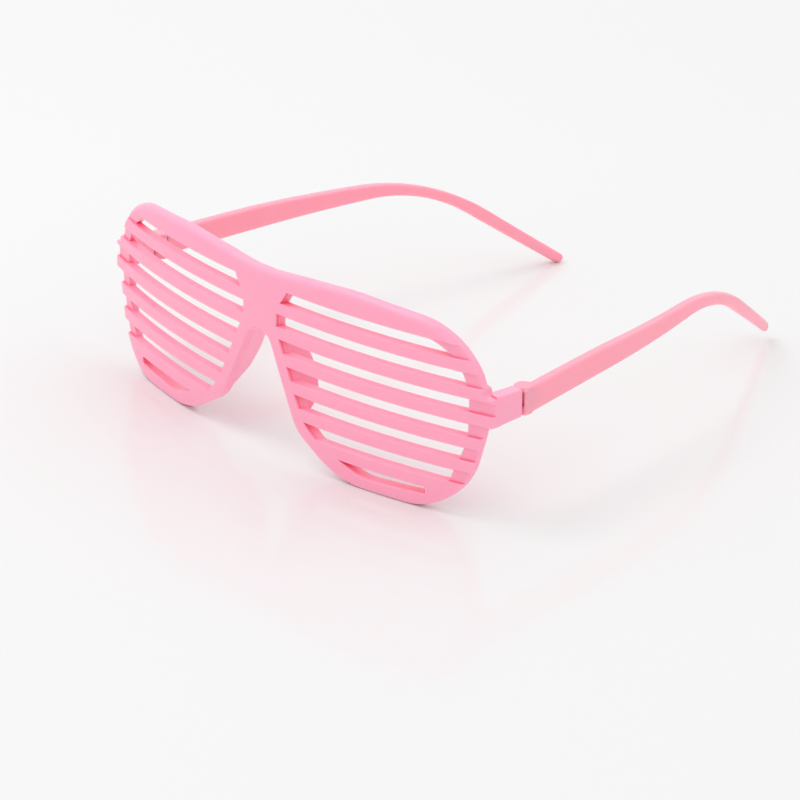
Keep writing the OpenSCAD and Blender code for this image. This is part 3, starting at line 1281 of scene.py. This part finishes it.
@dataclass
class Studio:
    """A pale table in an evenly white room, a soft lamp above, and the camera."""

    floor_size: float = 8.0
    floor_sunk: float = 0.00005
    floor_white: float = 0.93
    floor_shown: float = 0.745
    floor_gloss: float = 0.12
    backdrop: float = 0.91
    room_low: float = 0.79
    room_high: float = 1.19
    room_from: float = 0.2
    room_to: float = 0.6
    lamp_place: Point3 = (-0.45, -0.3, 1.0)
    lamp_size: float = 0.5
    lamp_power: float = 2.2
    target: Point3 = (0.0, -24.728, -1.647)
    eye: Point3 = (537.11, -527.072, 323.089)
    roll: float = 0.4535
    lens: float = 143.15
    sensor: float = 36.0

    def camera(self) -> None:
        """Puts the camera where the photograph was taken from."""
        data = bpy.data.cameras.new("camera")
        data.lens = self.lens
        data.sensor_width = self.sensor
        data.clip_start = 0.01
        data.clip_end = 50.0
        camera = bpy.data.objects.new("camera", data)
        bpy.context.scene.collection.objects.link(camera)
        camera.location = Vector(self.eye) * MM
        way = Vector(self.target) - Vector(self.eye)
        tip = Quaternion((0.0, 0.0, 1.0), math.radians(self.roll))
        camera.rotation_euler = (way.to_track_quat("-Z", "Y") @ tip).to_euler()
        bpy.context.scene.camera = camera

    @staticmethod
    def looking(tree: Tree) -> Sock:
        """Tells the rays that look at a surface from those that carry light.

        Args:
            tree: The surface's tree.

        Returns:
            1 for camera, glossy and transmission rays, and 0 for the rest.
        """
        seen = tree.node("ShaderNodeLightPath", {}, {}, "Is Camera Ray")
        for kind in ("Is Glossy Ray", "Is Transmission Ray"):
            ray = tree.node("ShaderNodeLightPath", {}, {}, kind)
            seen = tree.node("ShaderNodeMath", {"operation": "MAXIMUM"}, {0: seen, 1: ray})
        return seen

    def table(self) -> None:
        """Lays the table."""
        bpy.ops.object.select_all(action="DESELECT")
        bpy.ops.mesh.primitive_plane_add(size=self.floor_size, location=(0.0, 0.0, -self.floor_sunk))
        floor = bpy.context.object
        floor.name = "table"
        material = bpy.data.materials.new("table_white")
        tree = Tree(material)
        seen = self.looking(tree)
        white = (self.floor_white, self.floor_white, self.floor_white, 1.0)
        shown = (self.floor_shown, self.floor_shown, self.floor_shown, 1.0)
        paint = tree.node(
            "ShaderNodeMix", {"data_type": "RGBA"},
            {"Factor": seen, "A": white, "B": shown}, 2)
        shader = tree.node("ShaderNodeBsdfPrincipled", {}, {
            "Base Color": paint,
            "Roughness": self.floor_gloss,
            "IOR": 1.45,
            "Specular IOR Level": 0.3,
        })
        tree.finish(shader)
        floor.data.materials.append(material)

    def lamp(self) -> None:
        """Hangs one soft lamp that points at the object."""
        data = bpy.data.lights.new("lamp_left", "AREA")
        data.shape = "SQUARE"
        data.size = self.lamp_size
        data.energy = self.lamp_power
        lamp = bpy.data.objects.new("lamp_left", data)
        bpy.context.scene.collection.objects.link(lamp)
        lamp.location = self.lamp_place
        lamp.rotation_euler = (-Vector(self.lamp_place)).to_track_quat("-Z", "Y").to_euler()

    def world(self) -> None:
        """Fills the room with even white light."""
        world = bpy.data.worlds.new("white_room")
        bpy.context.scene.world = world
        tree = Tree(world)
        way = tree.node("ShaderNodeTexCoord", {}, {}, "Generated")
        height = tree.node("ShaderNodeSeparateXYZ", {}, {"Vector": way}, "Z")
        level = tree.node("ShaderNodeMapRange", {"interpolation_type": "SMOOTHSTEP"}, {
            "Value": height,
            "From Min": self.room_from,
            "From Max": self.room_to,
            "To Min": self.room_low,
            "To Max": self.room_high,
        })
        seen = self.looking(tree)
        strength = level * (1 - seen) + seen * self.backdrop
        shader = tree.node("ShaderNodeBackground", {}, {"Color": WHITE, "Strength": strength})
        tree.finish(shader, "ShaderNodeOutputWorld")

    def build(self) -> None:
        """Sets up the whole studio."""
        bpy.context.scene.view_settings.view_transform = "Standard"
        self.camera()
        self.table()
        self.lamp()
        self.world()


def dress(piece: Solid, material: bpy.types.Material, body: Body,
          nodes: Sequence[str]) -> None:
    """Gives a piece its finish, its body and the CAD nodes that it stands for.

    Args:
        piece: The piece.
        material: Its material.
        body: The body that it rides on.
        nodes: The names of the CAD nodes.
    """
    piece.data.materials.clear()
    piece.data.materials.append(material)
    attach(piece, body.value)
    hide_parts(*nodes)
    log.info("%s: %d faces", piece.name, len(piece.data.polygons))


def main() -> None:
    """Builds the studio and the glasses."""
    logging.basicConfig(level=logging.INFO, format="%(name)s: %(message)s")
    Studio().build()
    # Each pink's darkest colour is painted shade, put into gaps and corners
    front_pink = MouldedPlastic(
        "front_pink",
        plain=colour(255, 170, 197),
        deep=colour(255, 163, 190),
        painted_shade=colour(255, 118, 148),
    ).make()
    # The temples' pink is the front's pink painted a little darker and more salmon: painted shade, as the
    # arms' sides are lit less than the front
    temple_pink = MouldedPlastic(
        "temple_pink",
        plain=colour(255, 164, 182),
        deep=colour(255, 158, 177),
        painted_shade=colour(255, 118, 140),
    ).make()
    pin_pink = MouldedPlastic(
        "pin_pink",
        plain=colour(245, 152, 180),
        deep=colour(240, 146, 174),
        painted_shade=colour(235, 120, 150),
    ).make()
    dress(FrontMoulding().build(), front_pink, Body.FRONT, FRONT_NODES)
    arms = (
        (Side.LEFT, Body.LEFT_TEMPLE, Temple(drop=-33.4, tip=(141.8, 3.9))),
        (Side.RIGHT, Body.RIGHT_TEMPLE, Temple()),
    )
    for side, body, temple in arms:
        name = side.name.lower()
        dress(temple.build(side), temple_pink, body, [f"temple_{name}"])
        dress(temple.pin(side), pin_pink, body, [f"hinge_pin_{name}"])


if __name__ == "__main__":
    main()
